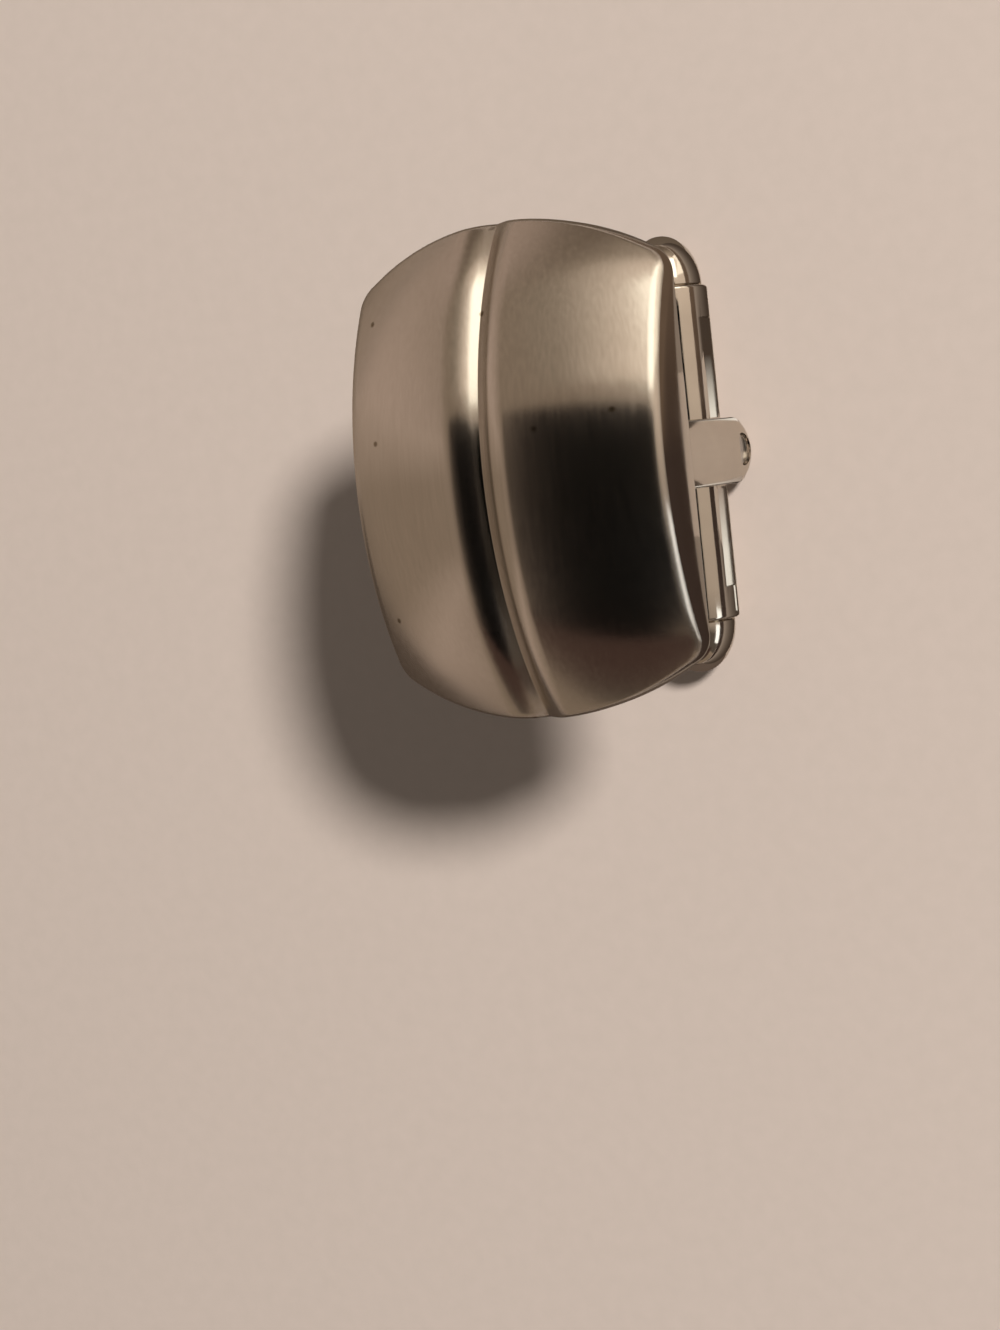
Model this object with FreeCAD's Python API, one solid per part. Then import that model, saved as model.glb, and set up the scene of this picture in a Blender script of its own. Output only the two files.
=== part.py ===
import FreeCAD, Part
import math
import os

# Bullet-back cufflink, in millimetres.
# The toggle lies on Z = 0 and the face looks up along +Z. X runs across the face and along the pivot.
# Y runs along the face and, with the toggle locked, along the toggle.

# Face
face_width = 13.4
face_side_length = 15.2
face_end_bulge = 2.15
end_wall_height = 1.2
crown_above_ends = 3.5
crown_above_sides = 1.95
corner_radius = 1.2
front_edge_radius = 1.0
groove_floor_width = 0.16
groove_depth = 0.55
groove_roll_radius = 1.8
shell_wall = 0.9
rim_width = 0.9
plate_ledge = 0.6

# Back plate
plate_thickness = 0.7
plate_clearance = 0.04

# Post fork
back_to_pivot = 16.5
arm_width = 3.0
arm_edge_thickness = 0.45
arm_crown = 0.6
arm_tip_lift = 0.1
fork_bend_radius = 1.2
toggle_side_clearance = 0.15
seat_flat_depth = 0.15
panel_depth = 0.12
panel_border = 0.35
stem_diameter = 2.0
stem_head_overlap = 0.5
stem_head_height = 0.5

# Pivot pin
pin_diameter = 1.4
pin_end_depth = 0.22
pin_running_clearance = 0.05
cam_flat_depth = 0.175
cam_end_margin = 0.3

# Toggle
tube_diameter = 3.9
tube_length = 15.2
tube_wall = 0.5
tube_edge_radius = 0.15
tube_flat_depth = 0.15
tube_end_band = 1.5
cap_length = 2.4
cap_step = 0.23
spigot_length = 2.2

# Detent springs
spring_thickness = 0.2
spring_width = 1.5
spring_seat_depth = 1.2
spring_cam_clearance = 0.04

# Every cut runs past the material by this much.
cut_overrun = 1.0

# Heights that the pieces share
tube_radius = tube_diameter / 2
pivot_z = tube_radius
back_z = pivot_z + back_to_pivot
crown_height = end_wall_height + crown_above_ends

# Curvature of the face, each radius from a chord and its rise
face_half_width = face_width / 2
face_half_length = face_side_length / 2 + face_end_bulge


def arc_radius(half_chord, rise):
    return (half_chord ** 2 + rise ** 2) / (2 * rise)


cross_radius = arc_radius(face_half_width, crown_above_sides)
long_radius = arc_radius(face_half_length, crown_above_ends)
end_radius = arc_radius(face_half_width, face_end_bulge)

# The fork's gap takes the toggle, so that it can fold in line with the post.
gap_half = tube_radius + toggle_side_clearance
arm_half_width = arm_width / 2
arm_thickness = arm_edge_thickness + arm_crown
arm_outer = gap_half + arm_thickness
fork_floor_z = back_z - arm_thickness + seat_flat_depth
bend_start_z = fork_floor_z - fork_bend_radius
tip_centre_z = arm_tip_lift + arm_half_width

# Pin, bore and springs
pin_radius = pin_diameter / 2
cam_half = pin_radius - cam_flat_depth
bore_radius = tube_radius - tube_wall
tube_half = tube_length / 2
spigot_inner_y = tube_half - spigot_length
spring_half_length = spigot_inner_y + spring_seat_depth
spring_inner = cam_half + spring_cam_clearance

X_AXIS = FreeCAD.Vector(1, 0, 0)
Y_AXIS = FreeCAD.Vector(0, 1, 0)
Z_AXIS = FreeCAD.Vector(0, 0, 1)


def vec(x, y, z):
    return FreeCAD.Vector(x, y, z)


def box(low, high):
    size = high - low
    return Part.makeBox(size.x, size.y, size.z, low)


def line(start, end):
    return Part.LineSegment(start, end).toShape()


def arc(start, middle, end):
    return Part.Arc(start, middle, end).toShape()


def face_of(edges):
    return Part.Face(Part.Wire(Part.__sortEdges__(edges)))


def joined(first, others):
    return first.fuse(others).removeSplitter()


def face_prism(inset, low_z, high_z):
    """The barrel outline of the face, drawn in by an inset and stood up between two heights."""
    half = face_half_width - inset
    radius = end_radius - inset
    centre_y = face_half_length - end_radius
    # A corner circle touches the straight side and, from inside, the end arc.
    corner_x = half - corner_radius
    corner_reach = radius - corner_radius
    corner_y = centre_y + math.sqrt(corner_reach ** 2 - corner_x ** 2)
    turn = math.atan2(corner_y - centre_y, corner_x)
    touch_x = radius * math.cos(turn)
    touch_y = centre_y + radius * math.sin(turn)
    mid_x = corner_x + corner_radius * math.cos(turn / 2)
    mid_y = corner_y + corner_radius * math.sin(turn / 2)
    edges = []
    for side in (1, -1):
        edges.append(line(vec(side * half, -corner_y, low_z), vec(side * half, corner_y, low_z)))
    for end in (1, -1):
        top = vec(0, end * (centre_y + radius), low_z)
        edges.append(arc(vec(-touch_x, end * touch_y, low_z), top, vec(touch_x, end * touch_y, low_z)))
        for side in (1, -1):
            start = vec(side * half, end * corner_y, low_z)
            middle = vec(side * mid_x, end * mid_y, low_z)
            edges.append(arc(start, middle, vec(side * touch_x, end * touch_y, low_z)))
    return face_of(edges).extrude(Z_AXIS * (high_z - low_z))


def dome_ring(edges):
    """Turns a cross-section of the face about the axis that gives the face its lengthwise curve."""
    axis_point = vec(0, 0, back_z + crown_height - long_radius)
    return face_of(edges).revolve(axis_point, X_AXIS, 360)


def front_edges(low_z):
    """Cross-section of the front: a groove floor, then a flank, a dome, a rolled edge and a wall each side."""
    centre_z = back_z + crown_height - cross_radius
    # The edge roll touches the side wall and, from inside, the dome.
    edge_x = face_half_width - front_edge_radius
    edge_z = centre_z + math.sqrt((cross_radius - front_edge_radius) ** 2 - edge_x ** 2)
    edge_turn = math.atan2(edge_x, edge_z - centre_z)
    edge_mid_turn = (edge_turn + math.pi / 2) / 2
    # The groove roll touches the dome from inside and ends on the groove's floor.
    floor_half = groove_floor_width / 2
    floor_up = cross_radius - groove_depth
    floor_reach = math.hypot(floor_half, floor_up)
    roll_reach = cross_radius - groove_roll_radius
    spread = (roll_reach ** 2 + floor_reach ** 2 - groove_roll_radius ** 2) / (2 * roll_reach * floor_reach)
    roll_turn = math.atan2(floor_half, floor_up) + math.acos(spread)
    roll_x = roll_reach * math.sin(roll_turn)
    roll_up = roll_reach * math.cos(roll_turn)
    flank_turn = math.atan2(floor_half - roll_x, floor_up - roll_up)
    roll_mid_turn = (roll_turn + flank_turn) / 2
    dome_mid_turn = (roll_turn + edge_turn) / 2
    edges = []
    for side in (1, -1):
        floor_end = vec(side * floor_half, 0, centre_z + floor_up)
        roll_mid = vec(side * (roll_x + groove_roll_radius * math.sin(roll_mid_turn)), 0,
                       centre_z + roll_up + groove_roll_radius * math.cos(roll_mid_turn))
        dome_points = []
        for turn in (roll_turn, dome_mid_turn, edge_turn):
            dome_points.append(vec(side * cross_radius * math.sin(turn), 0,
                                   centre_z + cross_radius * math.cos(turn)))
        edge_mid = vec(side * (edge_x + front_edge_radius * math.sin(edge_mid_turn)), 0,
                       edge_z + front_edge_radius * math.cos(edge_mid_turn))
        wall_top = vec(side * face_half_width, 0, edge_z)
        edges.append(arc(floor_end, roll_mid, dome_points[0]))
        edges.append(arc(*dome_points))
        edges.append(arc(dome_points[-1], edge_mid, wall_top))
        edges.append(line(wall_top, vec(side * face_half_width, 0, low_z)))
    edges.append(line(vec(-floor_half, 0, centre_z + floor_up), vec(floor_half, 0, centre_z + floor_up)))
    edges.append(line(vec(-face_half_width, 0, low_z), vec(face_half_width, 0, low_z)))
    return edges


def cavity_edges(low_z):
    """Cross-section of the hollow: the dome drawn in by the shell's wall, as wide as the face."""
    radius = cross_radius - shell_wall
    centre_z = back_z + crown_height - cross_radius
    side_z = centre_z + math.sqrt(radius ** 2 - face_half_width ** 2)
    left = vec(-face_half_width, 0, side_z)
    right = vec(face_half_width, 0, side_z)
    left_low = vec(-face_half_width, 0, low_z)
    right_low = vec(face_half_width, 0, low_z)
    roof = arc(left, vec(0, 0, centre_z + radius), right)
    return [roof, line(right, right_low), line(right_low, left_low), line(left_low, left)]


def make_face_shell():
    above_crown = back_z + crown_height + cut_overrun
    below_back = back_z - cut_overrun
    shell = dome_ring(front_edges(below_back)).common(face_prism(0, back_z, above_crown))
    plate_seat = face_prism(rim_width, below_back, back_z + plate_thickness)
    hollow_prism = face_prism(rim_width + plate_ledge, back_z, above_crown)
    hollow = dome_ring(cavity_edges(below_back)).common(hollow_prism)
    return shell.cut([plate_seat, hollow])


def make_back_plate():
    plate = face_prism(rim_width + plate_clearance, back_z, back_z + plate_thickness)
    stem_hole = Part.makeCylinder(stem_diameter / 2, plate_thickness + 2 * cut_overrun,
                                  vec(0, 0, back_z - cut_overrun), Z_AXIS)
    return plate.cut(stem_hole)


def strip_section(z):
    """D-shaped section of the +X arm: flat inside, crowned outside."""
    inner = [vec(gap_half, -arm_half_width, z), vec(gap_half, arm_half_width, z)]
    edge_x = gap_half + arm_edge_thickness
    outer = [vec(edge_x, -arm_half_width, z), vec(edge_x, arm_half_width, z)]
    crown = vec(arm_outer, 0, z)
    edges = [line(inner[0], inner[1]), line(inner[1], outer[1])]
    edges += [arc(outer[1], crown, outer[0]), line(outer[0], inner[0])]
    return face_of(edges)


def tip_section():
    """Half of the D section, turned about the arm's middle to round the tip."""
    crown_radius = arc_radius(arm_half_width, arm_crown)
    centre_x = arm_outer - crown_radius
    half_turn = math.asin(arm_half_width / crown_radius) / 2
    middle_x = centre_x + crown_radius * math.cos(half_turn)
    middle = vec(middle_x, crown_radius * math.sin(half_turn), tip_centre_z)
    inner_low = vec(gap_half, 0, tip_centre_z)
    inner_high = vec(gap_half, arm_half_width, tip_centre_z)
    outer_high = vec(gap_half + arm_edge_thickness, arm_half_width, tip_centre_z)
    crown = vec(arm_outer, 0, tip_centre_z)
    edges = [line(inner_low, inner_high), line(inner_high, outer_high)]
    edges += [arc(outer_high, middle, crown), line(crown, inner_low)]
    return face_of(edges)


def make_fork_blank():
    """The bent strip with its rounded tips and riveted stem, before it is drilled and sunk."""
    arm = strip_section(tip_centre_z).extrude(Z_AXIS * (bend_start_z - tip_centre_z))
    tip = tip_section().revolve(vec(0, 0, tip_centre_z), -X_AXIS, 180)
    bend_centre = vec(gap_half - fork_bend_radius, 0, bend_start_z)
    bend = strip_section(bend_start_z).revolve(bend_centre, -Y_AXIS, 90)
    half = joined(arm, [tip, bend])
    other_half = half.mirror(vec(0, 0, 0), X_AXIS)
    bridge_section = strip_section(bend_start_z)
    bridge_section.rotate(bend_centre, -Y_AXIS, 90)
    bridge = bridge_section.extrude(-X_AXIS * (2 * bend_centre.x))
    strip = joined(half, [bridge, other_half])
    above_seat = box(vec(-face_half_width, -face_half_width, back_z),
                     vec(face_half_width, face_half_width, back_z + crown_height))
    strip = strip.cut(above_seat)
    stem_length = back_z + plate_thickness - fork_floor_z
    stem = Part.makeCylinder(stem_diameter / 2, stem_length, vec(0, 0, fork_floor_z), Z_AXIS)
    head = Part.makeCylinder(stem_diameter / 2 + stem_head_overlap, stem_head_height,
                             vec(0, 0, back_z + plate_thickness), Z_AXIS)
    return joined(strip, [stem, head])


def pin_cylinder(radius):
    half_length = arm_outer + cut_overrun
    return Part.makeCylinder(radius, 2 * half_length, vec(-half_length, 0, pivot_z), X_AXIS)


def make_post_fork():
    panel_half = arm_half_width - panel_border
    panel_low = pivot_z + tube_radius
    cuts = [pin_cylinder(pin_radius)]
    for side in (1, -1):
        near = side * gap_half
        far = side * (gap_half + panel_depth)
        low = vec(min(near, far), -panel_half, panel_low)
        cuts.append(box(low, vec(max(near, far), panel_half, bend_start_z)))
    return make_fork_blank().cut(cuts)


def make_pivot_pin():
    """Round where it sits in the arms and the tube, squared in the middle to make the cam."""
    half_length = arm_outer - pin_end_depth
    pin = Part.makeCylinder(pin_radius, 2 * half_length, vec(-half_length, 0, pivot_z), X_AXIS)
    cam_end = bore_radius - cam_end_margin
    reach = pin_radius + cut_overrun
    cuts = []
    for side in (1, -1):
        near = side * cam_half
        far = side * reach
        low = min(near, far)
        high = max(near, far)
        cuts.append(box(vec(-cam_end, low, pivot_z - reach), vec(cam_end, high, pivot_z + reach)))
        cuts.append(box(vec(-cam_end, -reach, pivot_z + low), vec(cam_end, reach, pivot_z + high)))
    return pin.cut(cuts)


def make_toggle_tube():
    body = Part.makeCylinder(tube_radius, tube_length, vec(0, -tube_half, pivot_z), Y_AXIS)
    rims = [edge for edge in body.Edges if edge.BoundBox.YLength < tube_edge_radius]
    body = body.makeFillet(tube_edge_radius, rims)
    bore_length = tube_length + 2 * cut_overrun
    bore = Part.makeCylinder(bore_radius, bore_length, vec(0, -bore_length / 2, pivot_z), Y_AXIS)
    cuts = [bore, pin_cylinder(pin_radius + pin_running_clearance)]
    flat_end = tube_half - tube_end_band
    for side in (1, -1):
        near = side * (tube_radius - tube_flat_depth)
        far = side * (tube_radius + cut_overrun)
        low = vec(min(near, far), -flat_end, -cut_overrun)
        cuts.append(box(low, vec(max(near, far), flat_end, tube_diameter + cut_overrun)))
    return body.cut(cuts)


def spring_box(side, inner_y, outer_y):
    low = pivot_z + min(side * spring_inner, side * (spring_inner + spring_thickness))
    high = low + spring_thickness
    return box(vec(-spring_width / 2, inner_y, low), vec(spring_width / 2, outer_y, high))


def make_detent_spring(side):
    return spring_box(side, -spring_half_length, spring_half_length)


def make_end_cap():
    """Domed plug of the +Y end, with a spigot slotted for the ends of the two leaf springs."""
    cap_radius = tube_radius - cap_step
    axis_point = vec(0, tube_half, pivot_z)
    rim = vec(cap_radius, tube_half, pivot_z)
    nose = vec(0, tube_half + cap_length, pivot_z)
    ellipse = Part.Ellipse(nose, rim, axis_point)
    dome = Part.ArcOfEllipse(ellipse, ellipse.parameter(nose), ellipse.parameter(rim)).toShape()
    spigot_points = [rim, vec(bore_radius, tube_half, pivot_z), vec(bore_radius, spigot_inner_y, pivot_z)]
    spigot_points += [vec(0, spigot_inner_y, pivot_z), nose]
    edges = [dome]
    for start, end in zip(spigot_points, spigot_points[1:]):
        edges.append(line(start, end))
    cap = face_of(edges).revolve(axis_point, Y_AXIS, 360)
    slots = [spring_box(side, spigot_inner_y, spring_half_length) for side in (1, -1)]
    return cap.cut(slots)


def main():
    os.makedirs("parts", exist_ok=True)
    north_cap = make_end_cap()
    nodes = {
        "face_shell": make_face_shell(),
        "back_plate": make_back_plate(),
        "post_fork": make_post_fork(),
        "pivot_pin": make_pivot_pin(),
        "toggle_tube": make_toggle_tube(),
        "end_cap_north": north_cap,
        "end_cap_south": north_cap.mirror(vec(0, 0, 0), Y_AXIS),
        "detent_spring_upper": make_detent_spring(1),
        "detent_spring_lower": make_detent_spring(-1),
    }
    for name, shape in nodes.items():
        shape.exportStep("parts/" + name + ".step")
        print(name, "valid" if shape.isValid() else "not valid", len(shape.Solids), round(shape.Volume, 3))


main()
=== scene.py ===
import math
from collections import namedtuple

import bmesh
import bpy
from mathutils import Matrix, Vector


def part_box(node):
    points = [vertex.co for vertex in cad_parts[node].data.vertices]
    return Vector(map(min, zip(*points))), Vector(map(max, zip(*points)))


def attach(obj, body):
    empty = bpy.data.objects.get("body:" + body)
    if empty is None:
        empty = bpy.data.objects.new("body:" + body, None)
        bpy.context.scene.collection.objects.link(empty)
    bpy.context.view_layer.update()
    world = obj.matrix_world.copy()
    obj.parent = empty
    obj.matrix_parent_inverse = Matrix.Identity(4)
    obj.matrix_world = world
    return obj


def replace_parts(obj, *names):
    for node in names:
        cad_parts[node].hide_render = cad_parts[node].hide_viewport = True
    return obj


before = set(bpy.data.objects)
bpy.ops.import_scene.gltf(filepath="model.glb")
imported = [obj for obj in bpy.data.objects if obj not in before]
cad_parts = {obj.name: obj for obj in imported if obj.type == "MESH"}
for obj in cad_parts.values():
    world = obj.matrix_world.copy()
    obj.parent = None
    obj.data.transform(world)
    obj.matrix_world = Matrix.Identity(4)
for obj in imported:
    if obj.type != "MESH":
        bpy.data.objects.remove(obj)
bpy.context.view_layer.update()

# Everything is in metres, in the part's own frame: +Z out of the face, +X across it, +Y along it.
MM = 0.001
ACROSS = Vector((1, 0, 0))
ALONG = Vector((0, 1, 0))
QUARTER_TURN = math.pi / 2
ENDS = (("north", 1), ("south", -1))

# Photograph: its height in pixels, and the camera that sees the part as it does
PHOTO_HEIGHT = 1330
FOCAL_PIXELS = 2322.2
CAMERA_PLACE = Vector((37.89, -0.13, 102.36)) * MM
CAMERA_RIGHT = Vector((0.8999, -0.1079, -0.4225))
CAMERA_UP = Vector((0.0633, 0.9910, -0.1182))
CAMERA_BACK = Vector((0.4314, 0.0797, 0.8986))
CAMERA_CLIP_START = 1 * MM

# Face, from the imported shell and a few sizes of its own
SHELL_LOW, SHELL_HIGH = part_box("face_shell")
BACK_Z = SHELL_LOW.z
FACE_HALF_WIDTH = SHELL_HIGH.x
FACE_HALF_LENGTH = SHELL_HIGH.y
CROWN_HEIGHT = 4.655 * MM
CROWN_ABOVE_ENDS = 3.5 * MM
CROWN_ABOVE_SIDES = 1.95 * MM
END_BULGE = 2.15 * MM
CORNER_RADIUS = 1.2 * MM
SIDE_ROLL_REACH = 0.5 * MM
END_ROLL_REACH = 0.12 * MM
ROLL_SHARE_OF_WALL = 0.8
BACK_ROLL = 0.12 * MM
GROOVE_FLOOR_WIDTH = 0.04 * MM
GROOVE_FLOOR_X = -0.29 * MM
GROOVE_DEPTH = 0.605 * MM
GROOVE_LEFT_ROLL = 1.5 * MM
GROOVE_LEFT_TILT = math.radians(38.5)
GROOVE_RIGHT_ROLL = 1.2 * MM
GROOVE_RIGHT_TILT = math.radians(36)
SHELL_WALL = 0.9 * MM
RIM_WIDTH = 0.9 * MM
PLATE_LEDGE = 0.6 * MM
PLATE_SEAT_DEPTH = 0.7 * MM

# Fork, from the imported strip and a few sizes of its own
FORK_LOW, FORK_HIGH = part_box("post_fork")
ARM_HALF_WIDTH = FORK_HIGH.y
ARM_EDGE = 0.45 * MM
ARM_CROWN = 0.6 * MM
ARM_EDGE_ROLL = 0.09 * MM
GAP_HALF = FORK_HIGH.x - ARM_EDGE - ARM_CROWN
FORK_BEND_RADIUS = 1.2 * MM
SEAT_FLAT_DEPTH = 0.15 * MM
FORK_FLOOR_Z = BACK_Z + SEAT_FLAT_DEPTH - ARM_EDGE - ARM_CROWN
BEND_X = GAP_HALF - FORK_BEND_RADIUS
BEND_Z = FORK_FLOOR_Z - FORK_BEND_RADIUS
TIP_Z = FORK_LOW.z + ARM_HALF_WIDTH
PANEL_DEPTH = 0.12 * MM
PANEL_BORDER = 0.35 * MM
PANEL_SLOPE = 0.04 * MM

# Toggle and its pin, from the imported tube, cap and pin
TUBE_LOW, TUBE_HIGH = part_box("toggle_tube")
TUBE_RADIUS = TUBE_HIGH.z / 2 - TUBE_LOW.z / 2
TUBE_HALF = TUBE_HIGH.y
PIVOT_Z = TUBE_LOW.z + TUBE_RADIUS
TUBE_WALL = 0.5 * MM
TUBE_END_ROLL = 0.15 * MM
TUBE_FLAT_DEPTH = 0.15 * MM
TUBE_FLAT = TUBE_RADIUS - TUBE_FLAT_DEPTH
TUBE_BAND = 1.5 * MM
FLAT_END = TUBE_HALF - TUBE_BAND
FLAT_RUN_OUT = 0.03 * MM
CAP_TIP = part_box("end_cap_north")[1].y
CAP_RADIUS = 1.72 * MM
CAP_LIP = 0.08 * MM
SPIGOT_RADIUS = 1.4 * MM
SPIGOT_START = 5.4 * MM
PIN_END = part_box("pivot_pin")[1].x
PIN_RADIUS = 0.7 * MM
PIN_EDGE_ROLL = 0.08 * MM
PIN_HOLE_RADIUS = 0.715 * MM
PIN_HOLE_FLARE = 0.06 * MM
DRILL_OVERSHOOT = 1 * MM
CAM_HALF_LENGTH = 1.15 * MM
CAM_HALF_WIDTH = 0.525 * MM

# How finely the shapes are divided, and from which angle on an edge between two faces stays crisp
FACE_ROWS = 121
GROOVE_ROLL_COLUMNS = 18
DOME_COLUMNS = 24
CORNER_COLUMNS = 11
EDGE_ROLL_STEPS = 8
BACK_ROLL_STEPS = 3
ARM_CROWN_POINTS = 14
ARM_EDGE_STEPS = 4
ARM_STATIONS = 9
BEND_STATIONS = 15
TIP_TURNS = 17
PIN_HOLE_TURNS = 72
TUBE_FLAT_TURNS = 13
TUBE_ROUND_TURNS = 37
TUBE_END_STEPS = 6
CAP_ROWS = 33
CAP_TURNS = 96
PIN_TURNS = 64
PIN_EDGE_STEPS = 5
CRISP_ANGLE = math.radians(38)


def arc_radius(half_chord, rise):
    return (half_chord ** 2 + rise ** 2) / (2 * rise)


CROSS_RADIUS = arc_radius(FACE_HALF_WIDTH, CROWN_ABOVE_SIDES)
LONG_RADIUS = arc_radius(FACE_HALF_LENGTH, CROWN_ABOVE_ENDS)
END_RADIUS = arc_radius(FACE_HALF_WIDTH, END_BULGE)
CURVE_AXIS = CROWN_HEIGHT - LONG_RADIUS


def spaced(start, end, count):
    """Values from start to end, both included."""
    return [start + (end - start) * i / (count - 1) for i in range(count)]


# The weight at which a bent curve round a square corner is a quarter of a circle
ROUND_WEIGHT = math.cos(math.pi / 4)


def bent(first, corner, last, steps, weight=1.0):
    """Points after first on the curve to last that leaves and arrives along the lines through the corner."""
    points = []
    for t in spaced(0, 1, steps + 1)[1:]:
        shares = ((1 - t) ** 2, 2 * weight * t * (1 - t), t ** 2)
        total = sum(shares)
        mix = zip(first, corner, last)
        points.append(tuple((a * shares[0] + b * shares[1] + c * shares[2]) / total for a, b, c in mix))
    return points


def add_piece(name, bm, body, materials):
    bmesh.ops.recalc_face_normals(bm, faces=bm.faces)
    for face in bm.faces:
        face.smooth = True
    mesh = bpy.data.meshes.new(name)
    bm.to_mesh(mesh)
    bm.free()
    mesh.set_sharp_from_angle(angle=CRISP_ANGLE)
    for material in materials:
        mesh.materials.append(material)
    piece = bpy.data.objects.new(name, mesh)
    bpy.context.scene.collection.objects.link(piece)
    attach(piece, body)
    return piece


# Materials

METAL_EDGE_TINT = (0.78, 0.75, 0.71, 1)
FINE_RELIEF = 0.01 * MM
PAPER_RELIEF = 0.05 * MM
EVEN = (1.0, 1.0, 1.0)
PIT_CELLS_PER_MM = 0.4
PIT_RARITY = 0.7
PIT_CORE = 0.025
PIT_RIM = 0.055


def new_material(name):
    material = bpy.data.materials.new(name)
    material.use_nodes = True
    return material, material.node_tree, material.node_tree.nodes["Principled BSDF"]


def new_metal(name):
    material, tree, shader = new_material(name)
    shader.inputs["Metallic"].default_value = 1.0
    shader.inputs["Specular Tint"].default_value = METAL_EDGE_TINT
    return material, tree, shader


def surface_place(tree, stretch, turn=0.0):
    """Object coordinates in millimetres, stretched along each axis and turned about all three."""
    coordinates = tree.nodes.new("ShaderNodeTexCoord")
    mapping = tree.nodes.new("ShaderNodeMapping")
    mapping.inputs["Rotation"].default_value = (turn, turn, turn)
    mapping.inputs["Scale"].default_value = [factor / MM for factor in stretch]
    tree.links.new(coordinates.outputs["Object"], mapping.inputs["Vector"])
    return mapping.outputs["Vector"]


def pattern(tree, stretch, scale=1.0, detail=3.0, turn=0.0):
    """Noise on the surface; a low stretch along an axis draws it out into lines along that axis."""
    node = tree.nodes.new("ShaderNodeTexNoise")
    node.inputs["Scale"].default_value = scale
    node.inputs["Detail"].default_value = detail
    tree.links.new(surface_place(tree, stretch, turn), node.inputs["Vector"])
    return node.outputs["Fac"]


def spread(tree, value, low=0.0, high=1.0, from_low=0.3, from_high=0.7):
    """Maps a value's usual span onto low to high."""
    node = tree.nodes.new("ShaderNodeMapRange")
    node.inputs["From Min"].default_value = from_low
    node.inputs["From Max"].default_value = from_high
    node.inputs["To Min"].default_value = low
    node.inputs["To Max"].default_value = high
    tree.links.new(value, node.inputs["Value"])
    return node.outputs["Result"]


def share_along(tree, place, axis, start, end):
    """How far a place or a direction lies along an axis, from 0 at the start to 1 at the end."""
    along = tree.nodes.new("ShaderNodeVectorMath")
    along.operation = "DOT_PRODUCT"
    along.inputs[1].default_value = axis
    tree.links.new(place, along.inputs[0])
    return spread(tree, along.outputs["Value"], from_low=start, from_high=end)


def combine(tree, operation, first, second):
    """A sum, product or the like of two values, each of them a node's output or a number."""
    node = tree.nodes.new("ShaderNodeMath")
    node.operation = operation
    for socket, value in zip(node.inputs, (first, second)):
        if isinstance(value, float):
            socket.default_value = value
        else:
            tree.links.new(value, socket)
    return node.outputs["Value"]


def scaled(tree, value, factor):
    return combine(tree, "MULTIPLY", value, factor)


def blend_colours(tree, share, first, second):
    """A blend of two colours, each of them a node's output or three numbers."""
    node = tree.nodes.new("ShaderNodeMix")
    node.data_type = "RGBA"
    node.clamp_factor = False
    for name, colour in (("A", first), ("B", second)):
        if isinstance(colour, tuple):
            node.inputs[name].default_value = (*colour, 1)
        else:
            tree.links.new(colour, node.inputs[name])
    tree.links.new(share, node.inputs["Factor"])
    return node.outputs["Result"]


def set_colour(tree, shader, share, dark, light):
    tree.links.new(blend_colours(tree, share, dark, light), shader.inputs["Base Color"])


def set_roughness(tree, shader, value, smooth, rough):
    tree.links.new(spread(tree, value, smooth, rough), shader.inputs["Roughness"])


def set_relief(tree, shader, height, strength, depth=FINE_RELIEF):
    node = tree.nodes.new("ShaderNodeBump")
    node.inputs["Strength"].default_value = strength
    node.inputs["Distance"].default_value = depth
    tree.links.new(height, node.inputs["Height"])
    tree.links.new(node.outputs["Normal"], shader.inputs["Normal"])


def pits(tree):
    """A mask that is 1 in a few small pits and 0 elsewhere."""
    cells = tree.nodes.new("ShaderNodeTexVoronoi")
    cells.voronoi_dimensions = "2D"
    cells.inputs["Scale"].default_value = PIT_CELLS_PER_MM
    tree.links.new(surface_place(tree, EVEN), cells.inputs["Vector"])
    chance = tree.nodes.new("ShaderNodeSeparateColor")
    tree.links.new(cells.outputs["Color"], chance.inputs["Color"])
    chosen = combine(tree, "GREATER_THAN", chance.outputs["Red"], PIT_RARITY)
    inside = spread(tree, cells.outputs["Distance"], 1.0, 0.0, PIT_CORE, PIT_RIM)
    return combine(tree, "MULTIPLY", chosen, inside)


def satin_material():
    """Metal brushed along Y, with streaks, soft mottling and a few small pits."""
    material, tree, shader = new_metal("satin_brushed")
    shader.inputs["Anisotropic"].default_value = 0.78
    tangent = tree.nodes.new("ShaderNodeTangent")
    tangent.direction_type = "UV_MAP"
    tangent.uv_map = "brush"
    tree.links.new(tangent.outputs["Tangent"], shader.inputs["Tangent"])
    streak_share = 0.6
    mottle_share = 0.4
    hair_share = 0.5
    pit_darkening = 5.0
    streaks = pattern(tree, stretch=(8.0, 0.2, 8.0))
    hairs = pattern(tree, stretch=(26.0, 0.5, 26.0), detail=2.0)
    mottle = pattern(tree, stretch=(1.0, 0.6, 1.0), scale=0.5)
    tone = combine(tree, "ADD", scaled(tree, streaks, streak_share), scaled(tree, mottle, mottle_share))
    pitted = combine(tree, "SUBTRACT", spread(tree, tone), scaled(tree, pits(tree), pit_darkening))
    set_colour(tree, shader, pitted, dark=(0.55, 0.51, 0.455), light=(0.62, 0.58, 0.525))
    set_roughness(tree, shader, streaks, smooth=0.185, rough=0.215)
    relief = combine(tree, "ADD", streaks, scaled(tree, hairs, hair_share))
    set_relief(tree, shader, relief, strength=0.04)
    return material


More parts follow.
